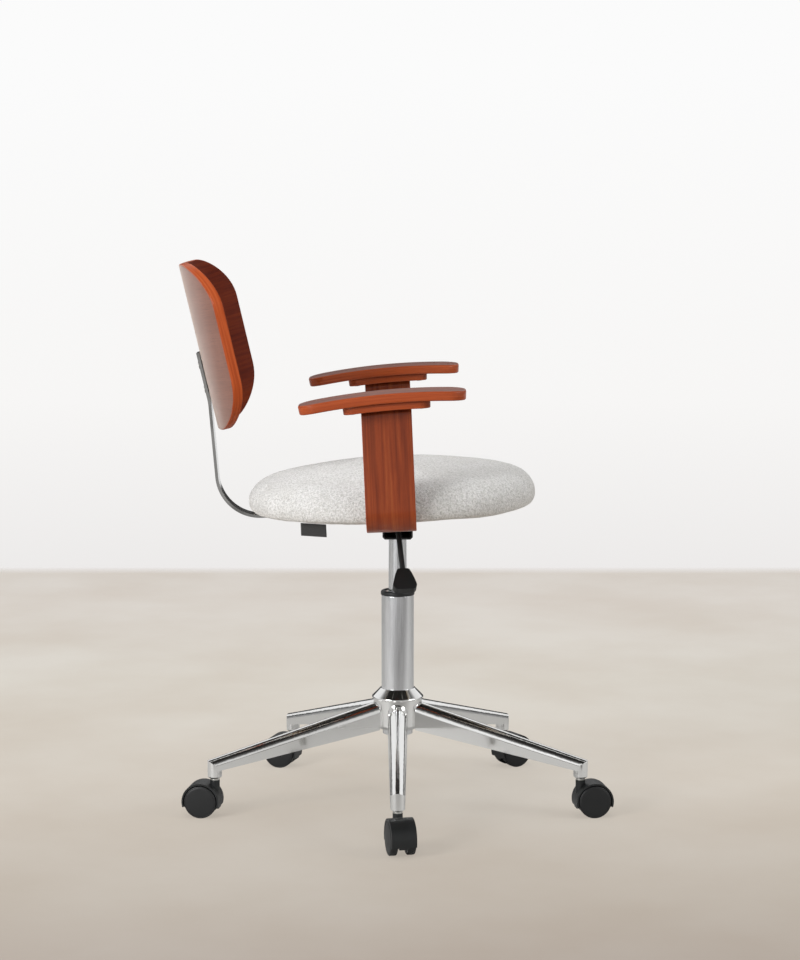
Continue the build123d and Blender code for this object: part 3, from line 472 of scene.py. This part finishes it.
# Back shell: bent about an upright axis, with wide elliptical corners
back = {"depth": 269, "rise": 134.7, "tilt": 10.6, "width": 326, "height": 255, "radius": 297.5,
        "thickness": 12.5, "shoulder": (101, 73), "hip": (91, 73), "ease": 1.8, "step": 6.0,
        "rearFacing": 0.6}
backLean = math.radians(back["tilt"])


def onBack(x, rise, depth):
    # depth runs from the rear face to the front face, edges cut square to the middle of the shell
    rear = back["radius"] - math.sqrt(back["radius"] ** 2 - x * x)
    inner = back["radius"] - back["thickness"]
    front = back["radius"] - math.sqrt(inner ** 2 - x * x)
    into = rear + (front - rear) * depth / back["thickness"]
    y = back["depth"] + rise * math.sin(backLean) - into * math.cos(backLean)
    z = back["rise"] + rise * math.cos(backLean) + into * math.sin(backLean)
    return onSeat(x, y, z)


half = back["width"] / 2
outline = roundedOutline((-half, 0), (half, back["height"]), back["hip"], back["shoulder"], back["step"])
mesh = buildSlab("backShell", outline, back["thickness"], back["ease"], onBack)
# the inner face takes the copy with painted shade, the rear-facing faces the copy with painted haze
makeObject("backShell", mesh, deepVeneer, "seat", ["back_shell"])
mesh.materials.append(hazyVeneer)
for face in mesh.polygons:
    face.material_index = 1 if face.normal.y > back["rearFacing"] else 0
print("back shell made")

# Arm straps: one strip of plywood, foot under the seat, bend, upright
strap = {"thickness": 10.5, "width": 73, "bend": 24, "inside": 228, "foot": 112, "ease": 1.6,
         "blockUnder": 25.1, "warmth": 0.3, "step": 6, "grainShift": 0.31, "footSteps": 8,
         "uprightSteps": 16, "cornerSteps": 5}


def strapStations():
    # centre line in the cross plane: outwards, up, normal outwards, normal up, share of the upright
    bendAt, half = strap["inside"] - strap["bend"], strap["thickness"] / 2
    foot, steps, rows = strap["foot"], strap["footSteps"], strap["uprightSteps"]
    stations = [(foot + (bendAt - foot) * k / steps, -half, 0, -1, None) for k in range(steps)]
    for k in range(arcSteps + 1):
        turn = math.radians(-90 + 90 * k / arcSteps)
        reach = strap["bend"] + half
        stations.append((bendAt + reach * math.cos(turn), strap["bend"] + reach * math.sin(turn),
                         math.cos(turn), math.sin(turn), None))
    return stations + [(bendAt + strap["bend"] + half, 0, 1, 0, k / rows) for k in range(1, rows + 1)]


def strapTop(v):
    radius = arm["bend"] - strap["blockUnder"]
    return bendUp + math.sqrt(radius ** 2 - (arm["strapCentre"] + v - bendBack) ** 2)


def buildStrap(name, side):
    half, wide, ease = strap["thickness"] / 2, strap["width"] / 2, strap["ease"]
    section = []  # across, depth, edge mark
    for v, w, start in ((wide, half, 0), (-wide, half, 90), (-wide, -half, 180), (wide, -half, 270)):
        for k in range(strap["cornerSteps"] + 1):
            turn = math.radians(start + 90 * k / strap["cornerSteps"])
            across = v - math.copysign(ease, v) + ease * math.cos(turn)
            deep = w - math.copysign(ease, w) + ease * math.sin(turn)
            section.append((across, deep, max(strap["warmth"], min(1, edgeReach * abs(math.cos(turn))))))
    filled = []
    for a, b in zip(section, section[1:] + section[:1]):
        width = math.dist(a[:2], b[:2])
        parts = max(1, round(width / strap["step"])) if width > strap["step"] / 2 else 1
        filled += [tuple(p + (q - p) * k / parts for p, q in zip(a, b)) for k in range(parts)]
    loops, grain, edge = [], [], []
    run, last = 0, None
    for x, y, nx, ny, share in strapStations():
        level = y if share is None else strap["bend"] + share * (strapTop(0) - strap["bend"])
        run += 0 if last is None else math.dist(last, (x, level))
        last = (x, level)
        loop = []
        for v, w, mark in filled:
            up = y if share is None else strap["bend"] + share * (strapTop(v) - strap["bend"])
            loop.append(onSeat(side * (x + w * nx), arm["strapCentre"] + v, up + w * ny))
        loops.append(loop)
        grain.append([(run * mm, v * mm + strap["grainShift"] * side, w * mm) for v, w, mark in filled])
        edge.append([mark for v, w, mark in filled])
    return meshFromLoops(name, loops, (grain, edge))


for side, hand in ((-1, "right"), (1, "left")):
    makeObject(f"armStrap.{hand}", buildStrap(f"armStrap.{hand}", side), strapVeneer, "seat",
               [f"arm_strap_{hand}"])
print("arm straps made")

# Caster wheels: turned discs with a domed cover, a groove at its rim and a rounded tread
casters = {"circle": 293, "headings": (192, 279, 300, 74, 81), "trail": 19.5, "radius": 25, "steps": 56}
wheelProfile = [  # reach along the axle, radius
    (8.0, 3.1), (8.0, 9.0), (8.9, 10.0), (8.9, 20.5), (8.0, 21.5), (8.0, 23.6), (8.4, 24.5), (9.3, 25.0),
    (17.0, 25.0), (17.9, 24.8), (18.5, 24.3), (18.8, 23.6), (18.9, 23.0), (18.75, 22.8), (18.75, 22.5),
    (18.95, 22.3), (19.05, 21.0), (19.2, 17.0), (19.36, 12.0), (19.46, 6.0), (19.5, 0.6)]
upwards = Vector((0, 0, 1))
for k in range(5):
    stem = math.radians(180 + 72 * k)
    heading = math.radians(casters["headings"][k])
    centre = Vector((casters["circle"] * math.cos(stem) + casters["trail"] * math.cos(heading),
                     casters["circle"] * math.sin(stem) + casters["trail"] * math.sin(heading),
                     casters["radius"]))
    forward = Vector((math.cos(heading), math.sin(heading), 0))
    for side, hand in ((1, "left"), (-1, "right")):
        out = Vector((-math.sin(heading), math.cos(heading), 0)) * side
        turns = [2 * math.pi * s / casters["steps"] for s in range(casters["steps"])]
        spokes = [forward * math.cos(a) + upwards * math.sin(a) for a in turns]
        loops = [[(centre + out * reach + spoke * radius) * mm for spoke in spokes]
                 for reach, radius in wheelProfile]
        name = f"casterWheel{k + 1}.{hand}"
        wheel = makeObject(name, meshFromLoops(name, loops), wheelNylon, f"wheel_{k + 1}_{hand}",
                           [f"caster_wheel_{k + 1}_{hand}"])
        wheel.visible_glossy = k > 0  # the front caster stays out of the chrome beside it
nodes["caster_hood_1"].visible_glossy = False
print("caster wheels made")

# Woven tab under the rear edge of the cushion, folded double and a little wavy
tab = {"bearing": 143.5, "radius": 196.6, "width": 48, "drop": 19, "thickness": 1.3, "wave": 0.35,
       "waveTurn": 0.21, "waveStart": 0.6, "foldShare": 0.55, "gap": 0.05, "rows": 12, "halfColumns": 12,
       "edgeShare": 0.25, "edgePower": 8}
tabTurn = math.radians(tab["bearing"])
loops = []
for k in range(tab["rows"] + 1):
    fall = tab["drop"] * k / tab["rows"]
    fold = tab["foldShare"] if k == tab["rows"] else 1
    loop = []
    for layer in (1, -1):
        for j in range(2 * tab["halfColumns"] + 1):
            along = (tab["width"] / 2) * (1 - j / tab["halfColumns"]) * layer
            ripple = tab["wave"] * math.sin(along * tab["waveTurn"] + tab["waveStart"]) * fall / tab["drop"]
            narrowing = (2 * along / tab["width"]) ** tab["edgePower"]
            fullness = max(tab["edgeShare"], math.sqrt(max(0, 1 - narrowing)))
            out = tab["radius"] + layer * tab["thickness"] / 2 * fullness * fold + ripple
            x = out * math.cos(tabTurn) - along * math.sin(tabTurn)
            y = seat["centre"] + out * math.sin(tabTurn) + along * math.cos(tabTurn)
            loop.append(onSeat(x, y, -tab["gap"] - fall))
    loops.append(loop)
makeObject("seatTab", meshFromLoops("seatTab", loops), tabWeave, "seat", ["seat_tag"])

# Seat cushion: foam under boucle, blown up a little by a cloth simulation, gathered at its lower edge
cushion = {"voxel": 0.005, "pressure": 4.0, "frames": 20, "cap": 0.0025, "columns": 144,
           "drawIn": 0.6, "drawFrom": 60, "lower": 1.2, "lowerOver": 50, "pinHeight": 15, "pinRadius": 199,
           "pocket": 190.6, "pocketTop": 13.4, "reach": 220.4, "bulge": 18, "outFacing": 0.3,
           "lowLevel": 14, "lowLetOut": (191, 12), "topLetOut": (110, 90), "skirt": 192,
           "droop": 5, "droopHeight": 36, "droopFrom": 60, "droopRun": 90,
           "pucker": 0.9, "puckerHeight": 22, "puckerLevel": 4, "puckerTop": 45,
           "folds": 17, "foldDrift": 0.02, "fineFolds": 41, "fineDrift": 0.03, "fineShare": 0.6}
cushionProfile = [  # radius, height above the board's underside
    (203, 0.2), (208.5, 1.0), (214, 4.0), (218.6, 9.5), (221, 18), (219.8, 26), (214.5, 35), (206, 44),
    (195, 50), (180, 53.9), (160, 57.4), (135, 61.6), (105, 66), (70, 69.6), (35, 71.6)]


def cushionLoops():
    loops = []
    wall, roof = cushion["pocket"], cushion["pocketTop"]
    pocket = [(20, roof), (120, roof), (wall, roof), (wall, 0.2)]
    turns = [2 * math.pi * s / cushion["columns"] for s in range(cushion["columns"])]
    for radius, level in pocket + cushionProfile + [(6, 72)]:
        if level > 1 and radius > wall or level > roof:
            radius -= cushion["drawIn"] if radius > cushion["drawFrom"] else 0
            level -= cushion["lower"] * min(1, level / cushion["lowerOver"])
        loops.append([onSeat(radius * math.cos(a), seat["centre"] + radius * math.sin(a), level)
                      for a in turns])
    return loops


def seatLevel(point):
    y, z = point.y / mm, point.z / mm - seat["height"]
    return y * tiltCos - z * tiltSin, y * tiltSin + z * tiltCos


cover = makeObject("seatCushionCover", meshFromLoops("seatCushionCover", cushionLoops()), boucle, "seat",
                   ["seat_cushion"])
bpy.context.view_layer.objects.active = cover
cover.data.remesh_voxel_size = cushion["voxel"]
bpy.ops.object.voxel_remesh()
cover.data.shade_smooth()
held = cover.vertex_groups.new(name="held")
before = [v.co.copy() for v in cover.data.vertices]
pinned = []
for v in cover.data.vertices:
    y, level = seatLevel(v.co)
    radius = math.hypot(v.co.x / mm, y - seat["centre"])
    if radius < cushion["pinRadius"] and level < cushion["pinHeight"]:
        pinned.append(v.index)
held.add(pinned, 1.0, "REPLACE")
blow = cover.modifiers.new("blow", "CLOTH")
blow.settings.use_pressure = True
blow.settings.uniform_pressure_force = cushion["pressure"]
blow.settings.effector_weights.gravity = 0
blow.settings.vertex_group_mass = "held"
blow.settings.quality = 5
scene = bpy.context.scene
for step in range(1, cushion["frames"] + 1):
    scene.frame_set(step)
shown = cover.evaluated_get(bpy.context.evaluated_depsgraph_get())
blown = [v.co.copy() for v in shown.data.vertices]
cover.modifiers.remove(blow)
scene.frame_set(1)
for v, start, end in zip(cover.data.vertices, before, blown):
    move = end - start
    if move.length > cushion["cap"]:
        move *= cushion["cap"] / move.length
    v.co = start + move
print("cushion blown up")


def fromCentre(point):
    y, level = seatLevel(point)
    return math.hypot(point.x / mm, y - seat["centre"]), math.atan2(y - seat["centre"], point.x / mm), level


# the rim is let out to the size of the foam, whose lower edge keeps its rounding; the pocket stays
letOut = cushion["reach"] - max(fromCentre(v.co)[0] for v in cover.data.vertices)
for v in cover.data.vertices:
    radius, around, level = fromCentre(v.co)
    start, run = cushion["lowLetOut"] if level < cushion["lowLevel"] else cushion["topLetOut"]
    share = (radius - start) / run  # none at the pocket and the crown
    out = Vector((math.cos(around), math.sin(around) * tiltCos, -math.sin(around) * tiltSin))
    push = letOut * max(0, min(1, share))
    if 0 < level < cushion["bulge"] and v.normal.dot(out) > cushion["outFacing"]:
        lowEdge = cushion["reach"] - cushion["bulge"]
        lowEdge += math.sqrt(cushion["bulge"] ** 2 - (cushion["bulge"] - level) ** 2)
        push = max(push, lowEdge - radius)
    v.co += out * (push * mm)
    if radius > cushion["skirt"] and level < cushion["droopHeight"]:
        front = max(0, min(1, (-seatLevel(v.co)[0] - cushion["droopFrom"]) / cushion["droopRun"]))
        hang = front * front * (3 - 2 * front) * (1 - level / cushion["droopHeight"])
        v.co.z -= cushion["droop"] * hang * mm
    near = max(0, 1 - abs(level - cushion["puckerLevel"]) / cushion["puckerHeight"])
    if level < cushion["puckerTop"] and radius > cushion["skirt"]:
        rim = Vector((math.cos(around), math.sin(around), 0))
        fold = noise.noise(rim * cushion["folds"] + upwards * (level * cushion["foldDrift"]))
        fine = noise.noise(rim * cushion["fineFolds"] + upwards * (level * cushion["fineDrift"]))
        fold += cushion["fineShare"] * fine
        v.co += out * (fold * cushion["pucker"] * near * near * mm)
smooth = cover.modifiers.new("even", "SMOOTH")
smooth.factor, smooth.iterations = 0.5, 2
cover.modifiers.new("fine", "SUBSURF").render_levels = 1
print("cushion made")

# Stage: pale floor, white studio behind it, soft lamps and the camera
studio = {
    "floorTones": [(0.0, "#B5ACA3"), (0.1, "#BFB7AD"), (0.35, "#D5CEC4"), (0.65, "#DED9D0"),
                   (1.0, "#E4DED7")],
    "floorFrom": -0.8, "floorTo": 1.9, "floorShade": "#F6F3F0", "patch": 0.5, "evenShare": 0.72,
    "floorMirrored": "#6B6967", "floorMirroredNear": "#C4C3C1", "mirrorFrom": -0.95, "mirrorTo": -0.35,
    "farEdge": 2.33, "soft": 0.1, "halfWidth": 9.0,
    "wallFoot": "#ECEAE9", "wallHex": "#F7F6F5", "wallTop": "#FBFBFB", "fill": 0.72, "fillHex": "#B4B2AF",
    "cameraSide": "#E2E1E0", "farSide": "#FFFFFF", "farWay": (0.5, 0.06, 0.0),
    "lowBand": "#4A4948", "lowMiddle": 0.1, "lowHalf": 0.16,
    "softbox": "#FFFFFF", "softboxWay": (-0.83, 0.558, 0.0), "nearCeiling": "#5F5E5D", "ceiling": "#2B2A29",
    "overhead": "#C9C8C6", "stripMiddle": 0.1, "stripHalf": 0.09, "mirrorStrength": 1.05,
    "lowBlend": (0.2, 0.6), "softboxBlend": (0.84, 0.95), "nearBlend": (0.26, 0.42),
    "ceilingBlend": (0.66, 0.82), "stripBlend": (0.8, 0.86), "wallBlend": (-0.16, 0.03)}


def paleFloor():
    # Smooth cast floor, pale beige with faint cloudy patches, with painted light making it paler towards the
    # white of the studio and darker towards the camera
    material, tree, shader = startMaterial("paleFloor", {"Roughness": 0.7, "Specular IOR Level": 0.25})
    where = addNode(tree, "ShaderNodeTexCoord").outputs["Object"]
    cloud = addNode(tree, "ShaderNodeTexNoise", {
        "Scale": 1 / studio["patch"], "Detail": 5.0, "Roughness": 0.55}, {"Vector": where})
    patches = addRamp(tree, cloud.outputs["Fac"], [(0.35, studio["floorShade"]), (0.65, "#FFFFFF")])
    away = addNode(tree, "ShaderNodeSeparateXYZ", {}, {0: where}).outputs["X"]
    # painted light: the beige tone runs from darker near the camera to paler far away
    paintedFalloff = addNode(tree, "ShaderNodeMapRange", {
        "From Min": studio["floorFrom"], "From Max": studio["floorTo"]}, {"Value": away})
    tone = addRamp(tree, paintedFalloff.outputs["Result"], studio["floorTones"])
    colour = addNode(tree, "ShaderNodeMix", {"data_type": "RGBA", "blend_type": "MULTIPLY", 0: 1.0},
                     {6: tone, 7: patches}).outputs[2]
    lightPath = addNode(tree, "ShaderNodeLightPath").outputs
    # glossy rays see the floor in other tones, dark near the camera: painted reflection in the chrome
    nearer = addNode(tree, "ShaderNodeMapRange", {
        "From Min": studio["mirrorFrom"], "From Max": studio["mirrorTo"]}, {"Value": away})
    inMetal = addRamp(tree, nearer.outputs["Result"], [(0.0, studio["floorMirrored"]),
                                                       (1.0, studio["floorMirroredNear"])])
    mirrored = addNode(tree, "ShaderNodeMix", {"data_type": "RGBA"},
                       {0: lightPath["Is Glossy Ray"], 6: colour, 7: inMetal}).outputs[2]
    tree.links.new(mirrored, shader.inputs["Base Color"])
    fromMiddle = addNode(tree, "ShaderNodeMath", {"operation": "ABSOLUTE"}, {0: away}).outputs[0]
    fade = addNode(tree, "ShaderNodeMapRange", {
        "From Min": studio["farEdge"] - studio["soft"], "From Max": studio["farEdge"], "To Min": 1.0,
        "To Max": 0.0}, {"Value": fromMiddle})
    tree.links.new(fade.outputs["Result"], shader.inputs["Alpha"])
    # camera rays see the floor partly glow in its own tones: painted light that washes out the shadows round
    # the chair
    lit = addNode(tree, "ShaderNodeEmission", {"Strength": 1.0}, {"Color": colour})
    clear = addNode(tree, "ShaderNodeBsdfTransparent")
    even = addNode(tree, "ShaderNodeMixShader", {}, {
        0: fade.outputs["Result"], 1: clear.outputs[0], 2: lit.outputs[0]})
    looked = addNode(tree, "ShaderNodeMath", {"operation": "MULTIPLY", 1: studio["evenShare"]},
                     {0: lightPath["Is Camera Ray"]})
    mixed = addNode(tree, "ShaderNodeMixShader", {}, {
        0: looked.outputs[0], 1: shader.outputs[0], 2: even.outputs[0]})
    tree.links.new(mixed.outputs[0], tree.nodes["Material Output"].inputs["Surface"])
    return material


floorMesh = bpy.data.meshes.new("studioFloor")
far, wide = studio["farEdge"], studio["halfWidth"]
corners = [(-far, -wide, 0), (far, -wide, 0), (far, wide, 0), (-far, wide, 0)]
floorMesh.from_pydata(corners, [], [(0, 1, 2, 3)])
floorMesh.materials.append(paleFloor())
floor = bpy.data.objects.new("studioFloor", floorMesh)
bpy.context.scene.collection.objects.link(floor)

world = bpy.data.worlds.new("studio")
bpy.context.scene.world = world
world.use_nodes = True
sky = world.node_tree
sky.nodes.clear()
rays = addNode(sky, "ShaderNodeLightPath").outputs
direction = addNode(sky, "ShaderNodeTexCoord").outputs["Generated"]


def towards(vector):
    return addNode(sky, "ShaderNodeVectorMath", {"operation": "DOT_PRODUCT", 1: vector},
                   {0: direction}).outputs["Value"]


def blend(below, hexAbove, value, low, high):
    share = addNode(sky, "ShaderNodeMapRange", {"From Min": low, "From Max": high}, {"Value": value})
    return addNode(sky, "ShaderNodeMix", {"data_type": "RGBA", 7: toLinear(hexAbove)},
                   {0: share.outputs["Result"], 6: below}).outputs[2]


def within(value, middle, half):
    return addNode(sky, "ShaderNodeMath", {"operation": "COMPARE", 1: middle, 2: half}, {0: value}).outputs[0]


def times(first, second):
    return addNode(sky, "ShaderNodeMath", {"operation": "MULTIPLY"}, {0: first, 1: second}).outputs[0]


# what the chrome mirrors: pale room, darker low band far away, softbox, dark ceiling with a light strip
height = addNode(sky, "ShaderNodeSeparateXYZ", {}, {0: direction}).outputs["Z"]
farther, nearer = towards((1.0, 0.0, 0.0)), towards((-1.0, 0.0, 0.0))
room = addRamp(sky, towards(studio["farWay"]), [(0.0, studio["cameraSide"]), (0.35, studio["farSide"])])
horizon = within(height, studio["lowMiddle"], studio["lowHalf"])
room = blend(room, studio["lowBand"], times(horizon, farther), *studio["lowBlend"])
room = blend(room, studio["softbox"], towards(studio["softboxWay"]), *studio["softboxBlend"])
room = blend(room, studio["nearCeiling"], times(height, nearer), *studio["nearBlend"])
room = blend(room, studio["ceiling"], height, *studio["ceilingBlend"])
strip = within(farther, studio["stripMiddle"], studio["stripHalf"])
room = blend(room, studio["overhead"], times(strip, height), *studio["stripBlend"])
mirror = addNode(sky, "ShaderNodeMath", {"operation": "MAXIMUM"},
                 {0: rays["Is Glossy Ray"], 1: rays["Is Transmission Ray"]}).outputs[0]
backdrop = addNode(sky, "ShaderNodeMapRange", {
    "From Min": studio["wallBlend"][0], "From Max": studio["wallBlend"][1]}, {"Value": height})
wall = addRamp(sky, backdrop.outputs["Result"], [(0.0, studio["wallFoot"]), (0.35, studio["wallHex"]),
                                                 (1.0, studio["wallTop"])])
plain = addNode(sky, "ShaderNodeBackground", {
    "Color": toLinear(studio["fillHex"]), "Strength": studio["fill"]})
seen = addNode(sky, "ShaderNodeBackground", {"Strength": 1.0}, {"Color": wall})
mirrored = addNode(sky, "ShaderNodeBackground", {"Strength": studio["mirrorStrength"]}, {"Color": room})
first = addNode(sky, "ShaderNodeMixShader", {}, {0: mirror, 1: plain.outputs[0], 2: mirrored.outputs[0]})
second = addNode(sky, "ShaderNodeMixShader", {}, {0: rays["Is Camera Ray"], 1: first.outputs[0],
                                                  2: seen.outputs[0]})
addNode(sky, "ShaderNodeOutputWorld", {}, {"Surface": second.outputs[0]})

lamps = [  # name, place, aim, width, height, watts, seen in mirrors
    ("keySoftbox", (-2.05, 2.0, 1.42), (0, 0, 0.5), 1.1, 1.3, 78, True),
    ("topSoftbox", (0.0, 0.2, 2.9), (0, 0, 0.4), 2.4, 2.0, 37, False),
    ("sideSoftbox", (-1.0, -2.7, 1.7), (0, 0, 0.5), 1.4, 1.2, 36, True),
    ("fillSoftbox", (-3.6, 0.3, 1.6), (0, 0, 0.45), 2.4, 1.6, 3, True),
]
for name, place, aim, width, tall, watts, mirrored in lamps:
    lamp = bpy.data.lights.new(name, "AREA")
    lamp.shape, lamp.size, lamp.size_y, lamp.energy = "RECTANGLE", width, tall, watts
    holder = bpy.data.objects.new(name, lamp)
    holder.location = place
    holder.visible_glossy = mirrored
    holder.rotation_euler = (Vector(aim) - Vector(place)).to_track_quat("-Z", "Y").to_euler()
    bpy.context.scene.collection.objects.link(holder)

shot = {"place": (-3.989, 0, 1.005), "down": 7.13, "turn": -90.052, "pixels": 2614, "sensor": 36, "tall": 960}
camera = bpy.data.cameras.new("photoCamera")
camera.sensor_width = shot["sensor"]
camera.lens = shot["pixels"] * shot["sensor"] / shot["tall"]
cameraHolder = bpy.data.objects.new("photoCamera", camera)
cameraHolder.location = shot["place"]
cameraHolder.rotation_euler = (math.radians(90 - shot["down"]), 0, math.radians(shot["turn"]))
bpy.context.scene.collection.objects.link(cameraHolder)
bpy.context.scene.camera = cameraHolder
bpy.context.scene.view_settings.view_transform = "Standard"
print("stage set")
